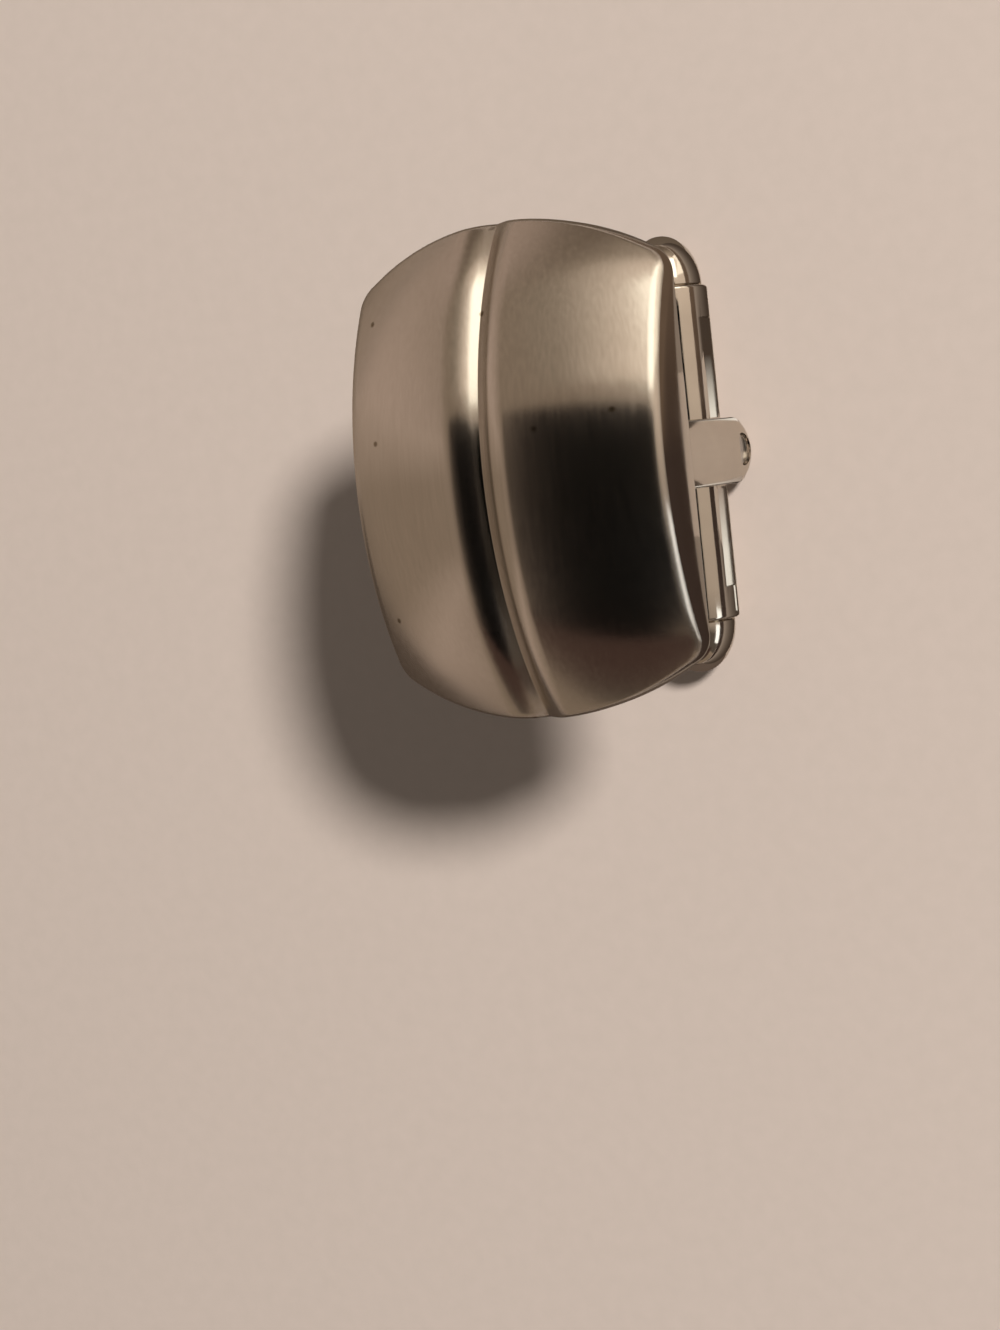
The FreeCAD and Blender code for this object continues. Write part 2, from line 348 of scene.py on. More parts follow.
def polished_material():
    """Mirror-polished metal with faint smudges and hair scratches."""
    material, tree, shader = new_metal("polished")
    smudges = pattern(tree, EVEN, scale=0.45, detail=4.0)
    scratches = pattern(tree, stretch=(22.0, 0.8, 5.0), detail=2.0, turn=0.6)
    set_colour(tree, shader, spread(tree, smudges), dark=(0.60, 0.555, 0.495), light=(0.66, 0.615, 0.55))
    set_roughness(tree, shader, smudges, smooth=0.05, rough=0.13)
    set_relief(tree, shader, scratches, strength=0.06)
    return material


def panel_material():
    """Sunk panels inside the arms: the same metal, duller and warmer where polish does not reach."""
    material, tree, shader = new_metal("sunk_panel")
    tarnish = pattern(tree, EVEN, scale=0.7, detail=4.0)
    grain = pattern(tree, stretch=(4.0, 14.0, 1.2))
    set_colour(tree, shader, spread(tree, tarnish), dark=(0.50, 0.43, 0.31), light=(0.66, 0.60, 0.48))
    set_roughness(tree, shader, grain, smooth=0.18, rough=0.34)
    set_relief(tree, shader, grain, strength=0.15)
    return material


def plate_material():
    """Back plate and inside of the face: polished across X, with wheel marks left in it."""
    material, tree, shader = new_metal("plate_polish")
    wheel_marks = pattern(tree, stretch=(0.25, 9.0, 1.0))
    smudges = pattern(tree, EVEN, scale=0.4, detail=4.0)
    set_colour(tree, shader, spread(tree, smudges), dark=(0.60, 0.56, 0.50), light=(0.67, 0.63, 0.57))
    set_roughness(tree, shader, wheel_marks, smooth=0.13, rough=0.24)
    set_relief(tree, shader, wheel_marks, strength=0.12)
    return material


def steel_material():
    """Drawn steel of the pin and the springs."""
    material, tree, shader = new_metal("drawn_steel")
    draw_lines = pattern(tree, stretch=(0.4, 0.4, 16.0))
    set_colour(tree, shader, spread(tree, draw_lines), dark=(0.50, 0.49, 0.47), light=(0.61, 0.60, 0.58))
    set_roughness(tree, shader, draw_lines, smooth=0.2, rough=0.36)
    set_relief(tree, shader, draw_lines, strength=0.15)
    return material


def paper_material():
    """Pale matt paper with soft fibres."""
    material, tree, shader = new_material("paper")
    fibres = pattern(tree, EVEN, scale=1.2, detail=5.0)
    set_colour(tree, shader, spread(tree, fibres), dark=(0.61, 0.515, 0.45), light=(0.63, 0.53, 0.465))
    shader.inputs["Roughness"].default_value = 0.9
    shader.inputs["Specular IOR Level"].default_value = 0.2
    set_relief(tree, shader, fibres, strength=0.1, depth=PAPER_RELIEF)
    return material


# A card's change of colour along an axis, from its own colour at the start to this one at the end
Fade = namedtuple("Fade", ("axis", "start", "end", "colour"))


def card_material(name, colour, fade):
    """A card's even or fading glow."""
    material = bpy.data.materials.new(name)
    material.use_nodes = True
    tree = material.node_tree
    tree.nodes.clear()
    glow = tree.nodes.new("ShaderNodeEmission")
    glow.inputs["Color"].default_value = (*colour, 1)
    if fade is not None:
        place = tree.nodes.new("ShaderNodeTexCoord").outputs["Object"]
        share = share_along(tree, place, fade.axis, fade.start, fade.end)
        tree.links.new(blend_colours(tree, share, colour, fade.colour), glow.inputs["Color"])
    output = tree.nodes.new("ShaderNodeOutputMaterial")
    tree.links.new(glow.outputs["Emission"], output.inputs["Surface"])
    return material


# Face


def outline_end(x, inset, corner):
    """Where an outline set in by this much ends along Y at x, and which way it faces there."""
    half = FACE_HALF_WIDTH - inset
    radius = END_RADIUS - inset
    centre_y = FACE_HALF_LENGTH - END_RADIUS
    corner_x = half - corner
    corner_y = centre_y + math.sqrt((radius - corner) ** 2 - corner_x ** 2)
    touch_x = corner_x * radius / (radius - corner)
    if abs(x) <= touch_x:
        y = centre_y + math.sqrt(radius ** 2 - x ** 2)
        return y, Vector((x, y - centre_y)) / radius
    past = min(abs(x) - corner_x, corner)
    y = corner_y + math.sqrt(corner ** 2 - past ** 2)
    return y, Vector((math.copysign(past, x), y - corner_y)) / corner


def front_end(x):
    """The end of the outline that the side rolls start from, and which way it faces there."""
    return outline_end(x, SIDE_ROLL_REACH, CORNER_RADIUS - SIDE_ROLL_REACH)


def groove_columns(side, roll_radius, flank_tilt):
    """One side of the groove's section, from its floor to where its roll meets the dome, as (x, reach)."""
    centre = CROWN_HEIGHT - CROSS_RADIUS
    floor_middle = side * GROOVE_FLOOR_X
    floor_third = floor_middle + GROOVE_FLOOR_WIDTH / 6
    floor_end = floor_middle + GROOVE_FLOOR_WIDTH / 2
    floor_up = CROSS_RADIUS - GROOVE_DEPTH
    flank_offset = floor_up * math.cos(flank_tilt) - floor_end * math.sin(flank_tilt)
    roll_reach = CROSS_RADIUS - roll_radius
    roll_turn = math.acos((flank_offset - roll_radius) / roll_reach) - flank_tilt
    roll_x = roll_reach * math.sin(roll_turn)
    roll_up = roll_reach * math.cos(roll_turn)
    columns = [(floor_third, floor_up), (floor_end, floor_up)]
    for turn in spaced(-flank_tilt, roll_turn, GROOVE_ROLL_COLUMNS):
        columns.append((roll_x + roll_radius * math.sin(turn), roll_up + roll_radius * math.cos(turn)))
    return [(x, centre + up - CURVE_AXIS) for x, up in columns]


def dome_reach(x):
    """How far the dome lies over the axis that the front is curved about, at x."""
    return CROWN_HEIGHT - CROSS_RADIUS + math.sqrt(CROSS_RADIUS ** 2 - x ** 2) - CURVE_AXIS


def half_columns(side, roll_radius, flank_tilt):
    """Columns of one side of the front, from the groove's floor to the rolled side."""
    half = groove_columns(side, roll_radius, flank_tilt)
    corner = CORNER_RADIUS - SIDE_ROLL_REACH
    corner_x = FACE_HALF_WIDTH - CORNER_RADIUS
    corner_turns = spaced(0, QUARTER_TURN, CORNER_COLUMNS)[1:]
    across = spaced(half[-1][0], corner_x, DOME_COLUMNS)[1:]
    across += [corner_x + corner * math.sin(turn) for turn in corner_turns]
    half += [(x, dome_reach(x)) for x in across]
    return [(side * x, reach) for x, reach in half]


def front_columns():
    """Columns of the front from the left roll to the right, as (x, reach over the curve's axis)."""
    left = half_columns(-1, GROOVE_LEFT_ROLL, GROOVE_LEFT_TILT)
    return left[::-1] + half_columns(1, GROOVE_RIGHT_ROLL, GROOVE_RIGHT_TILT)


def front_height(reach, y):
    return BACK_Z + CURVE_AXIS + math.sqrt(reach ** 2 - y ** 2)


class FaceGrid:
    """Columns and rows of the front, and the border that the edges of the face follow."""

    def __init__(self):
        self.columns = front_columns()
        self.shares = spaced(-1, 1, FACE_ROWS)
        last_column = len(self.columns) - 1
        last_row = len(self.shares) - 1
        north = [(i, last_row) for i in range(last_column + 1)]
        east = [(last_column, j) for j in range(last_row - 1, 0, -1)]
        south = [(i, 0) for i in range(last_column, -1, -1)]
        west = [(0, j) for j in range(1, last_row)]
        self.border = north + east + south + west

    def front_place(self, i, j):
        x, reach = self.columns[i]
        end, facing = front_end(x)
        y = (end - (END_ROLL_REACH - SIDE_ROLL_REACH) * facing.y ** 2) * self.shares[j]
        return Vector((x, y, front_height(reach, y)))

    def outer_place(self, i, j):
        """The point of the outermost outline that a border point rolls over to."""
        x = self.columns[i][0]
        end, facing = front_end(x)
        y = end + SIDE_ROLL_REACH * facing.y
        return Vector((x + SIDE_ROLL_REACH * facing.x, y * self.shares[j], BACK_Z))

    def inner_place(self, i, j, inset):
        """The same grid point inside an outline set in by this much, on the back plane."""
        share = (FACE_HALF_WIDTH - inset) / self.columns[-1][0]
        x = self.columns[i][0] * share
        end = outline_end(x, inset, CORNER_RADIUS)[0]
        return Vector((x, end * self.shares[j], BACK_Z))

    def roof_place(self, i, j, inset):
        """The same grid point inside an outline set in by this much, under the dome's wall."""
        place = self.inner_place(i, j, inset)
        place.z = front_height(dome_reach(place.x), place.y) - SHELL_WALL
        return place

    def on_side(self, i):
        """Whether the outline at a column faces sideways about as much as endways, or more."""
        least_sideways = 0.7
        facing = front_end(self.columns[i][0])[1]
        return abs(facing.x) > least_sideways


def edge_roll(grid, i, j):
    """Points from a border point over the rolled edge and down the wall to the back plane."""
    start = grid.front_place(i, j)
    outer = grid.outer_place(i, j)
    outward = Vector((outer.x - start.x, outer.y - start.y, 0))
    distance = outward.length
    outward.normalize()
    fall = CURVE_AXIS + BACK_Z - start.z
    slope_x = start.x / math.sqrt(CROSS_RADIUS ** 2 - start.x ** 2)
    slope_y = -start.y / fall
    slope = slope_x * outward.x + slope_y * outward.y
    corner = Vector((outer.x, outer.y, start.z - slope * distance))
    wall_height = corner.z - BACK_Z - BACK_ROLL
    drop = min(distance * math.hypot(1, slope), wall_height * ROLL_SHARE_OF_WALL)
    wall_top = corner - Vector((0, 0, drop))
    weight = math.cos(math.pi / 4 - math.atan(slope) / 2)
    points = bent(start, corner, wall_top, EDGE_ROLL_STEPS, weight)
    foot = outer + Vector((0, 0, BACK_ROLL))
    points.append(tuple(foot))
    points += bent(foot, outer, outer - outward * BACK_ROLL, BACK_ROLL_STEPS, ROUND_WEIGHT)
    return points


def make_face(satin, polished, inside):
    grid = FaceGrid()
    bm = bmesh.new()
    uv_layer = bm.loops.layers.uv.new("brush")
    column_range = range(len(grid.columns))
    row_range = range(len(grid.shares))
    materials = [satin, polished, inside]

    def quad(corners, material):
        face = bm.faces.new(corners)
        face.material_index = materials.index(material)
        for loop in face.loops:
            loop[uv_layer].uv = (loop.vert.co.x / MM, loop.vert.co.y / MM)

    def sheet(place, material):
        verts = [[bm.verts.new(place(i, j)) for j in row_range] for i in column_range]
        for i in column_range[:-1]:
            for j in row_range[:-1]:
                quad((verts[i][j], verts[i + 1][j], verts[i + 1][j + 1], verts[i][j + 1]), material)
        return [verts[i][j] for i, j in grid.border]

    def strip(first, second, material_of):
        for k in range(len(first)):
            after = (k + 1) % len(first)
            quad((first[k], first[after], second[after], second[k]), material_of(k))

    def edge_material(k, step):
        """Polish on the walls and on the back half of the side rolls, satin on the rest of the rolls."""
        on_side = grid.on_side(grid.border[k][0])
        polish_start = EDGE_ROLL_STEPS // 2 if on_side else EDGE_ROLL_STEPS
        return polished if step >= polish_start else satin

    ring = sheet(grid.front_place, satin)
    rolls = [edge_roll(grid, i, j) for i, j in grid.border]
    for step in range(len(rolls[0])):
        following = [bm.verts.new(points[step]) for points in rolls]
        strip(ring, following, lambda k: edge_material(k, step))
        ring = following
    ledge_inset = RIM_WIDTH + PLATE_LEDGE
    rim = (RIM_WIDTH, 0, polished)
    seat_wall = (RIM_WIDTH, PLATE_SEAT_DEPTH, inside)
    ledge = (ledge_inset, PLATE_SEAT_DEPTH, inside)
    for inset, up, material in (rim, seat_wall, ledge):
        lift = Vector((0, 0, up))
        following = [bm.verts.new(grid.inner_place(i, j, inset) + lift) for i, j in grid.border]
        strip(ring, following, lambda k: material)
        ring = following
    roof = sheet(lambda i, j: grid.roof_place(i, j, ledge_inset), inside)
    strip(ring, roof, lambda k: inside)
    return add_piece("face_dome", bm, "face_and_post", materials)


# Turned shapes


def even_turns(count):
    return [2 * math.pi * k / count for k in range(count)]


def about_y(radius, along, turn):
    return Vector((radius * math.cos(turn), along, PIVOT_Z + radius * math.sin(turn)))


def about_pivot(radius, along, turn):
    return Vector((along, radius * math.cos(turn), PIVOT_Z + radius * math.sin(turn)))


def mirrored(half):
    """The (radius, along) points of one end, followed by those of the other."""
    return half + [(radius, -along) for radius, along in reversed(half)]


def turn_outline(bm, outline, turns, place, closed=False):
    """Turns (radius, along) points about an axis and joins the rings that they make."""
    rings = [[bm.verts.new(place(radius, along, turn)) for turn in turns] for radius, along in outline]
    pairs = list(zip(rings, rings[1:]))
    if closed:
        pairs.append((rings[-1], rings[0]))
    for first, second in pairs:
        for k in range(len(turns)):
            after = (k + 1) % len(turns)
            bm.faces.new((first[k], first[after], second[after], second[k]))
    return rings


def close_ring(bm, ring, point):
    middle = bm.verts.new(point)
    for k in range(len(ring)):
        bm.faces.new((ring[k], ring[(k + 1) % len(ring)], middle))


# Fork


def fork_half_section(sunk):
    """Half of the strip's section as (out, y), from the middle of its crown to the middle of its inside."""
    crown_radius = arc_radius(ARM_HALF_WIDTH, ARM_CROWN)
    crown_centre = ARM_EDGE + ARM_CROWN - crown_radius
    crown_end = math.asin((ARM_HALF_WIDTH - ARM_EDGE_ROLL) / crown_radius)
    points = []
    for turn in spaced(0, crown_end, ARM_CROWN_POINTS):
        points.append((crown_centre + crown_radius * math.cos(turn), crown_radius * math.sin(turn)))
    outer_corner = (ARM_EDGE, ARM_HALF_WIDTH)
    outer_roll_end = (ARM_EDGE - ARM_EDGE_ROLL, ARM_HALF_WIDTH)
    points += bent(points[-1], outer_corner, outer_roll_end, ARM_EDGE_STEPS)
    inner_roll = (ARM_EDGE_ROLL, ARM_HALF_WIDTH)
    inner_roll_end = (0, ARM_HALF_WIDTH - ARM_EDGE_ROLL)
    points.append(inner_roll)
    points += bent(inner_roll, (0, ARM_HALF_WIDTH), inner_roll_end, ARM_EDGE_STEPS)
    panel_half = ARM_HALF_WIDTH - PANEL_BORDER
    points.append((0, panel_half + PANEL_SLOPE))
    points += [(sunk, panel_half), (sunk, panel_half / 2), (sunk, 0)]
    return points


def arm_place(side, z):
    return lambda out, y: Vector((side * (GAP_HALF + out), y, z))


def bend_place(side, turn):
    def place(out, y):
        reach = FORK_BEND_RADIUS + out
        x = side * (BEND_X + reach * math.cos(turn))
        return Vector((x, y, min(BEND_Z + reach * math.sin(turn), BACK_Z)))
    return place


def fork_stations(side):
    """Places along one half of the strip, from its arm's tip to its middle, with the panel's depth."""
    panel_low = PIVOT_Z + TUBE_RADIUS
    arm = [(TIP_Z, 0), (panel_low - PANEL_SLOPE, 0), (panel_low, PANEL_DEPTH)]
    arm += [(z, PANEL_DEPTH) for z in spaced(panel_low, BEND_Z, ARM_STATIONS)[1:]]
    turns = [PANEL_SLOPE / FORK_BEND_RADIUS] + spaced(0, QUARTER_TURN, BEND_STATIONS)[1:]
    stations = [(arm_place(side, z), sunk) for z, sunk in arm]
    return stations + [(bend_place(side, turn), 0) for turn in turns]


def add_tip(bm, ring, half_count, side):
    """Rounds off an arm by turning half of its section about the middle of its end ring."""
    section = fork_half_section(0)
    rows = [ring[:half_count]]
    for turn in spaced(0, math.pi, TIP_TURNS)[1:-1]:
        row = [ring[0]]
        for out, y in section[1:-1]:
            place = (side * (GAP_HALF + out), y * math.cos(turn), TIP_Z - y * math.sin(turn))
            row.append(bm.verts.new(place))
        row.append(ring[half_count - 1])
        rows.append(row)
    rows.append([ring[0]] + list(reversed(ring[half_count:])) + [ring[half_count - 1]])
    for first, second in zip(rows, rows[1:]):
        for k in range(half_count - 1):
            corners = [first[k], first[k + 1], second[k + 1], second[k]]
            bm.faces.new([v for n, v in enumerate(corners) if v not in corners[:n]])


def pin_drill():
    """The shape of the hole through both arms, which opens out a little towards their outsides."""
    bm = bmesh.new()
    arm_outer = FORK_HIGH.x
    past = arm_outer + DRILL_OVERSHOOT
    flared = PIN_HOLE_RADIUS + PIN_HOLE_FLARE
    outline = mirrored([(flared, past), (flared, arm_outer), (PIN_HOLE_RADIUS, PIN_END)])
    rings = turn_outline(bm, outline, even_turns(PIN_HOLE_TURNS), about_pivot)
    close_ring(bm, rings[0], (past, 0, PIVOT_Z))
    close_ring(bm, rings[-1], (-past, 0, PIVOT_Z))
    return bm


def cut_away(blank, tool, materials):
    """Cuts one closed mesh out of another and gives back what is left."""
    objects = []
    for name, bm in (("blank", blank), ("tool", tool)):
        bmesh.ops.recalc_face_normals(bm, faces=bm.faces)
        mesh = bpy.data.meshes.new(name)
        bm.to_mesh(mesh)
        bm.free()
        for material in materials:
            mesh.materials.append(material)
        objects.append(bpy.data.objects.new(name, mesh))
        bpy.context.scene.collection.objects.link(objects[-1])
    cut = objects[0].modifiers.new("cut", "BOOLEAN")
    cut.operation = "DIFFERENCE"
    cut.solver = "EXACT"
    cut.object = objects[1]
    left = bmesh.new()
    left.from_object(objects[0], bpy.context.evaluated_depsgraph_get())
    for piece in objects:
        mesh = piece.data
        bpy.data.objects.remove(piece)
        bpy.data.meshes.remove(mesh)
    return left


def make_fork(polished, panel):
    bm = bmesh.new()
    stations = fork_stations(1) + fork_stations(-1)[::-1]
    materials = [polished, panel]
    half_count = len(fork_half_section(0))
    loop_count = 2 * half_count - 2
    panel_first = half_count - 3
    rings = []
    for place, sunk in stations:
        half = fork_half_section(sunk)
        loop = half + [(out, -y) for out, y in reversed(half[1:-1])]
        rings.append([bm.verts.new(place(out, y)) for out, y in loop])
    for n in range(len(rings) - 1):
        both_sunk = stations[n][1] > 0 and stations[n + 1][1] > 0
        for k in range(loop_count):
            after = (k + 1) % loop_count
            face = bm.faces.new((rings[n][k], rings[n][after], rings[n + 1][after], rings[n + 1][k]))
            in_panel = panel_first <= k < loop_count - panel_first
            face.material_index = materials.index(panel if both_sunk and in_panel else polished)
    add_tip(bm, rings[0], half_count, 1)
    add_tip(bm, rings[-1], half_count, -1)
    bm = cut_away(bm, pin_drill(), materials)
    return add_piece("fork_strip", bm, "face_and_post", materials)


# Toggle and pin


def tube_turns():
    """Turns round the tube with an edge exactly where each side flat begins."""
    flat_turn = math.acos(TUBE_FLAT / TUBE_RADIUS)
    turns = spaced(-flat_turn, flat_turn, TUBE_FLAT_TURNS)[:-1]
    turns += spaced(flat_turn, math.pi - flat_turn, TUBE_ROUND_TURNS)[:-1]
    return turns + [turn + math.pi for turn in turns]


def tube_place(radius, along, turn):
    place = about_y(radius, along, turn)
    if abs(along) <= FLAT_END:
        place.x = max(-TUBE_FLAT, min(TUBE_FLAT, place.x))
    return place


def make_tube(polished):
    bm = bmesh.new()
    bore = TUBE_RADIUS - TUBE_WALL
    end_edge = (TUBE_RADIUS, TUBE_HALF)
    roll_end = (TUBE_RADIUS, TUBE_HALF - TUBE_END_ROLL)
    half = [(bore, TUBE_HALF), (TUBE_RADIUS - TUBE_END_ROLL, TUBE_HALF)]
    half += bent(half[-1], end_edge, roll_end, TUBE_END_STEPS, ROUND_WEIGHT)
    half += [(TUBE_RADIUS, FLAT_END + FLAT_RUN_OUT), (TUBE_RADIUS, FLAT_END)]
    turn_outline(bm, mirrored(half), tube_turns(), tube_place, closed=True)
    return add_piece("toggle_barrel", bm, "toggle", [polished])


def make_cap(name, direction, polished):
    bm = bmesh.new()
    dome_start = TUBE_HALF + CAP_LIP
    dome_length = CAP_TIP - TUBE_HALF - CAP_LIP
    outline = [(SPIGOT_RADIUS, SPIGOT_START), (SPIGOT_RADIUS, TUBE_HALF), (CAP_RADIUS - CAP_LIP, TUBE_HALF)]
    for turn in spaced(0, QUARTER_TURN, CAP_ROWS)[:-1]:
        outline.append((CAP_RADIUS * math.cos(turn), dome_start + dome_length * math.sin(turn)))
    outline = [(radius, direction * along) for radius, along in outline]
    rings = turn_outline(bm, outline, even_turns(CAP_TURNS), about_y)
    close_ring(bm, rings[0], (0, direction * SPIGOT_START, PIVOT_Z))
    close_ring(bm, rings[-1], (0, direction * CAP_TIP, PIVOT_Z))
    return add_piece(name, bm, "toggle", [polished])


def pin_place(radius, along, turn):
    place = about_pivot(radius, along, turn)
    if abs(along) <= CAM_HALF_LENGTH:
        place.y = max(-CAM_HALF_WIDTH, min(CAM_HALF_WIDTH, place.y))
        place.z = PIVOT_Z + max(-CAM_HALF_WIDTH, min(CAM_HALF_WIDTH, place.z - PIVOT_Z))
    return place


def make_pin(steel):
    bm = bmesh.new()
    end_edge = (PIN_RADIUS, PIN_END)
    roll_end = (PIN_RADIUS, PIN_END - PIN_EDGE_ROLL)
    half = [(PIN_RADIUS / 2, PIN_END), (PIN_RADIUS - PIN_EDGE_ROLL, PIN_END)]
    half += bent(half[-1], end_edge, roll_end, PIN_EDGE_STEPS, ROUND_WEIGHT)
    half += [(PIN_RADIUS, CAM_HALF_LENGTH + FLAT_RUN_OUT), (PIN_RADIUS, CAM_HALF_LENGTH)]
    rings = turn_outline(bm, mirrored(half), even_turns(PIN_TURNS), pin_place)
    close_ring(bm, rings[0], (PIN_END, 0, PIVOT_Z))
    close_ring(bm, rings[-1], (-PIN_END, 0, PIVOT_Z))
    return add_piece("pivot_rivet", bm, "face_and_post", [steel])


# Stage: paper, cards that only reflections see, light and camera

FLOOR_HALF = 1.0
# How far flags lie over the paper, in millimetres like all sizes that the cards are given
FLAG_LIFT = 0.05
GLOW_LIFT = 0.1
# Colours of the surroundings, and the key light
# The dark of shaded paper: painted shade that the flags show only to reflections
PAINTED_SHADE_DARK = (0.09, 0.065, 0.05)
ROOM_COLOUR = (0.30, 0.225, 0.165)
BACKDROP_COLOUR = (0.36, 0.305, 0.265)
FILL_COLOUR = (0.15, 0.139, 0.128)
KEY_DIRECTION = Vector((0.590, 0.300, 0.750))
KEY_DISTANCE = 0.8
KEY_SIZE = 0.12
KEY_POWER = 7.25
KEY_COLOUR = (1.0, 0.975, 0.95)


def add_stage(name, corners, material):
    mesh = bpy.data.meshes.new(name)
    mesh.from_pydata(corners, [], [range(len(corners))])
    mesh.materials.append(material)
    stage = bpy.data.objects.new(name, mesh)
    bpy.context.scene.collection.objects.link(stage)
    return stage


def make_floor():
    half = FLOOR_HALF
    corners = [(-half, -half, 0), (half, -half, 0), (half, half, 0), (-half, half, 0)]
    add_stage("floor", corners, paper_material())


def add_card(name, corners, colour, fade):
    """A card that shows only in reflections."""
    card = add_stage(name, corners, card_material(name, colour, fade))
    card.visible_camera = False
    card.visible_diffuse = False
    card.visible_shadow = False


def in_photo_axes(right, up, back):
    return (CAMERA_RIGHT * right + CAMERA_UP * up + CAMERA_BACK * back).normalized()


def beside_camera(right, up):
    """A place beside the camera, in millimetres to its right and above it."""
    return CAMERA_PLACE + CAMERA_RIGHT * (right * MM) + CAMERA_UP * (up * MM)


def camera_card(name, left, right, low, high, colour, fade, lean=0):
    """A card beside the camera, in millimetres, whose left edge may lean out towards its foot."""
    places = ((left - lean, low), (right, low), (right, high), (left, high))
    add_card(name, [beside_camera(*place) for place in places], colour, fade)


def facing_card(name, direction, distance, half_width, half_height, colour, fade=None):
    """A card square to a direction, in millimetres, and level with the photograph's right."""
    middle = Vector((0, 0, BACK_Z)) + direction * (distance * MM)
    up = (CAMERA_UP - direction * CAMERA_UP.dot(direction)).normalized()
    right = up.cross(direction)
    corners = []
    for across, along in ((-1, -1), (1, -1), (1, 1), (-1, 1)):
        corners.append(middle + right * (half_width * MM) * across + up * (half_height * MM) * along)
    add_card(name, corners, colour, fade)


def floor_card(name, near_x, far_x, low_y, high_y, colour, fade=None, lift=FLAG_LIFT):
    """A flag that lies just over the paper, in millimetres, and changes its reflection in upright metal: the
    painted shade and painted highlights that only reflections see.
    """
    places = ((near_x, low_y), (far_x, low_y), (far_x, high_y), (near_x, high_y))
    add_card(name, [(x * MM, y * MM, lift * MM) for x, y in places], colour, fade)


def upright_card(name, x, near, far, low, high, colour, fade=None):
    """An upright card square to X, in millimetres."""
    places = ((near, low), (far, low), (far, high), (near, high))
    add_card(name, [(x * MM, y * MM, z * MM) for y, z in places], colour, fade)


def make_lamp_cards():
    """A lamp above the camera, to its right, and the lit ceiling round it."""
    ceiling_end = (1.12, 0.91, 0.73)
    facing_card("lamp_glow", in_photo_axes(right=0.08, up=0.636, back=0.768),
                distance=200, half_width=135, half_height=70,
                colour=(0.30, 0.235, 0.175), fade=Fade(CAMERA_RIGHT, -75 * MM, 45 * MM, ceiling_end))
    facing_card("lamp", in_photo_axes(right=0.425, up=0.57, back=0.704),
                distance=185, half_width=34, half_height=58, colour=(2.6, 2.4, 2.05))


def make_camera_cards():
    """Dark cards round the camera: black at its height, brown further down."""
    foot = -154
    black = (0.0, 0.0, 0.0)
    black_start = CAMERA_RIGHT.dot(beside_camera(-90, 0))
    black_end = CAMERA_RIGHT.dot(beside_camera(-42, 0))
    camera_card("dark_card", left=-84, right=66, low=foot, high=30, lean=24,
                colour=(0.06, 0.045, 0.036), fade=Fade(CAMERA_RIGHT, black_start, black_end, black))
    red_brown = (0.075, 0.042, 0.032)
    brown_start = CAMERA_UP.dot(beside_camera(0, -700))
    brown_end = CAMERA_UP.dot(beside_camera(0, -230))
    camera_card("brown_card", left=-140, right=140, low=-1400, high=foot,
                colour=(0.10, 0.076, 0.058), fade=Fade(CAMERA_UP, brown_start, brown_end, red_brown))


def make_wall_cards():
    """Walls on both sides, and a window in the right one."""
    left_x = -250
    left_middle = -60
    left_dark = (0.33, 0.248, 0.184)
    left_light = (0.57, 0.435, 0.35)
    upright_card("left_card_north", left_x, near=left_middle, far=75, low=10, high=330,
                 colour=left_dark, fade=Fade(ALONG, 0, 75 * MM, left_light))
    upright_card("left_card_south", left_x, near=-200, far=left_middle, low=10, high=330,
                 colour=left_light, fade=Fade(ALONG, -190 * MM, -110 * MM, left_dark))
    right_corner = 113
    right_light = (0.85, 0.69, 0.55)
    upright_card("bright_wall", x=320, near=right_corner, far=400, low=0, high=200,
                 colour=(1.6, 1.4, 1.15))
    upright_card("right_wall", x=330, near=-500, far=right_corner, low=0, high=330,
                 colour=(0.12, 0.095, 0.075), fade=Fade(ALONG, -150 * MM, 60 * MM, right_light))
    upright_card("window", x=300, near=-230, far=-50, low=2, high=75, colour=(1.8, 1.8, 1.75))


def make_side_flags():
    """Flags round the part, which darken the paper that the walls of the face reflect: painted shade on the
    paper beyond the left side and both ends, and darker paper beyond the right side, all seen only in
    reflections.
    """
    side_end = (0.17, 0.115, 0.08)
    left_end = (0.42, 0.32, 0.25)
    # Darker paper beyond the right side, lighter towards the north, seen only in reflections
    floor_card("side_flag", near_x=11, far_x=260, low_y=-120, high_y=120,
               colour=(0.06, 0.04, 0.032), fade=Fade(ALONG, 0, 9 * MM, side_end))
    # Painted shade on the paper left of the part, darker towards the south
    floor_card("left_flag", near_x=-300, far_x=-7.5, low_y=-200, high_y=200,
               colour=PAINTED_SHADE_DARK, fade=Fade(ALONG, -12 * MM, 2 * MM, left_end))
    # Painted shade on the paper beyond both ends
    floor_card("north_flag", near_x=-60, far_x=2, low_y=10.3, high_y=200, colour=(0.19, 0.145, 0.11))
    floor_card("south_flag", near_x=-60, far_x=2, low_y=-200, high_y=-10.3, colour=(0.17, 0.125, 0.10))


